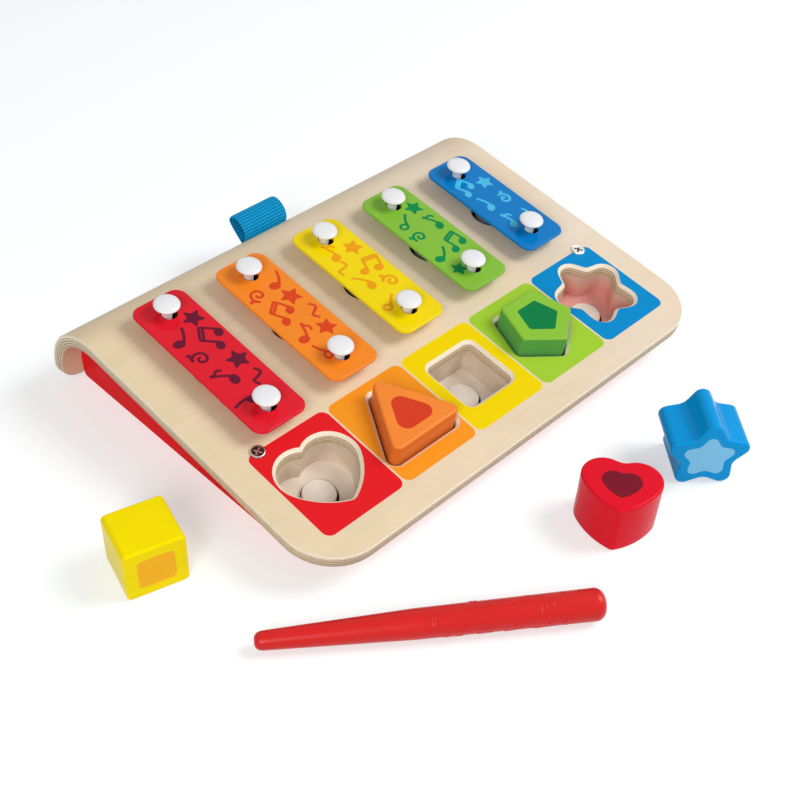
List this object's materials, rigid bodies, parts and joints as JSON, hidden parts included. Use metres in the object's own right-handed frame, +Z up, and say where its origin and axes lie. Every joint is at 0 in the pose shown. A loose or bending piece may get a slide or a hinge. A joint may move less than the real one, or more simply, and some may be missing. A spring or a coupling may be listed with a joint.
{
  "type": "shape sorter xylophone",
  "caption": "Wooden shape sorter on a bent plywood board: pressing a shaped block rocks a lever whose hammer strikes a metal bar.",
  "frame": {"origin": "on the floor, at the middle of the base's flat underside", "axes": "+X along the row of bars from the longest to the shortest, +Y from the front edge to the curled rear end, +Z up"},
  "size_m": [0.4137, 0.3742, 0.0739],
  "materials": {
    "plywood": "clear satin lacquer on birch plywood",
    "cream_wood": "cream painted wood, matt",
    "red_painted_wood": "red paint, satin",
    "hardboard": "brown hardboard, matt",
    "beech": "bare beech, sanded",
    "steel": "zinc plated",
    "grey_rubber": "matt rubber hammer head and post",
    "black_rubber": "matt rubber",
    "white_plastic": "smooth moulded plastic",
    "blue_webbing": "ribbed webbing",
    "grey_felt": "felt",
    "enamel_red": "gloss enamel",
    "enamel_orange": "gloss enamel",
    "enamel_yellow": "gloss enamel",
    "enamel_green": "gloss enamel",
    "enamel_blue": "gloss enamel",
    "paint_red": "satin paint on wood",
    "paint_orange": "satin paint on wood",
    "paint_yellow": "satin paint on wood",
    "paint_green": "satin paint on wood",
    "paint_blue": "satin paint on wood"
  },
  "bodies": {
    "toy_board": {"bent_plywood_board": "plywood", "well_block": "cream_wood", "well_floor": "cream_wood", "base_left_side": "red_painted_wood", "base_right_side": "red_painted_wood", "base_front_rail": "red_painted_wood", "base_bottom_panel": "hardboard", "lever_rest_rail": "beech", "lever_rest_felt": "grey_felt", "rocker_axle": "steel", "webbing_loop": "blue_webbing", "board_screw_left": "steel", "board_screw_right": "steel", "bar_red": "enamel_red", "bar_orange": "enamel_orange", "bar_yellow": "enamel_yellow", "bar_green": "enamel_green", "bar_blue": "enamel_blue", "pin_red_front": "white_plastic", "spacer_red_front": "black_rubber", "pin_red_rear": "white_plastic", "spacer_red_rear": "black_rubber", "pin_orange_front": "white_plastic", "spacer_orange_front": "black_rubber", "pin_orange_rear": "white_plastic", "spacer_orange_rear": "black_rubber", "pin_yellow_front": "white_plastic", "spacer_yellow_front": "black_rubber", "pin_yellow_rear": "white_plastic", "spacer_yellow_rear": "black_rubber", "pin_green_front": "white_plastic", "spacer_green_front": "black_rubber", "pin_green_rear": "white_plastic", "spacer_green_rear": "black_rubber", "pin_blue_front": "white_plastic", "spacer_blue_front": "black_rubber", "pin_blue_rear": "white_plastic", "spacer_blue_rear": "black_rubber"},
    "rocker_red": {"lever_red": "beech", "peg_red": "cream_wood", "hammer_red": "grey_rubber"},
    "rocker_orange": {"lever_orange": "beech", "peg_orange": "cream_wood", "hammer_orange": "grey_rubber"},
    "rocker_yellow": {"lever_yellow": "beech", "peg_yellow": "cream_wood", "hammer_yellow": "grey_rubber"},
    "rocker_green": {"lever_green": "beech", "peg_green": "cream_wood", "hammer_green": "grey_rubber"},
    "rocker_blue": {"lever_blue": "beech", "peg_blue": "cream_wood", "hammer_blue": "grey_rubber"},
    "heart_block_body": {"heart_block": "paint_red"},
    "triangle_block_body": {"triangle_block": "paint_orange"},
    "square_block_body": {"square_block": "paint_yellow"},
    "pentagon_block_body": {"pentagon_block": "paint_green"},
    "star_block_body": {"star_block": "paint_blue"},
    "tapered_stick_body": {"tapered_stick": "red_painted_wood"}
  },
  "joints": [
    {"name": "rocker_red_pivot", "type": "hinge", "parent": "toy_board", "child": "rocker_red", "pos_m": [-0.1218, -0.04447, 0.00816], "axis": [1, 0, 0], "range_deg": [0, 5]},
    {"name": "rocker_orange_pivot", "type": "hinge", "parent": "toy_board", "child": "rocker_orange", "pos_m": [-0.0609, -0.04447, 0.00816], "axis": [1, 0, 0], "range_deg": [0, 5]},
    {"name": "rocker_yellow_pivot", "type": "hinge", "parent": "toy_board", "child": "rocker_yellow", "pos_m": [0, -0.04447, 0.00816], "axis": [1, 0, 0], "range_deg": [0, 5]},
    {"name": "rocker_green_pivot", "type": "hinge", "parent": "toy_board", "child": "rocker_green", "pos_m": [0.0609, -0.04447, 0.00816], "axis": [1, 0, 0], "range_deg": [0, 5]},
    {"name": "rocker_blue_pivot", "type": "hinge", "parent": "toy_board", "child": "rocker_blue", "pos_m": [0.1218, -0.04447, 0.00816], "axis": [1, 0, 0], "range_deg": [0, 5]},
    {"name": "triangle_block_lift", "type": "slide", "parent": "toy_board", "child": "triangle_block_body", "axis": [0, -0.1305, 0.9914], "range_m": [0, 0.04]},
    {"name": "pentagon_block_lift", "type": "slide", "parent": "toy_board", "child": "pentagon_block_body", "axis": [0, -0.1305, 0.9914], "range_m": [0, 0.04]},
    {"name": "heart_block_lift", "type": "slide", "parent": "toy_board", "child": "heart_block_body", "axis": [0, 0, 1], "range_m": [0, 0.06]},
    {"name": "square_block_lift", "type": "slide", "parent": "toy_board", "child": "square_block_body", "axis": [0, 0, 1], "range_m": [0, 0.06]},
    {"name": "star_block_lift", "type": "slide", "parent": "toy_board", "child": "star_block_body", "axis": [0, 0, 1], "range_m": [0, 0.06]},
    {"name": "tapered_stick_lift", "type": "slide", "parent": "toy_board", "child": "tapered_stick_body", "axis": [0, 0, 1], "range_m": [0, 0.06]}
  ]
}
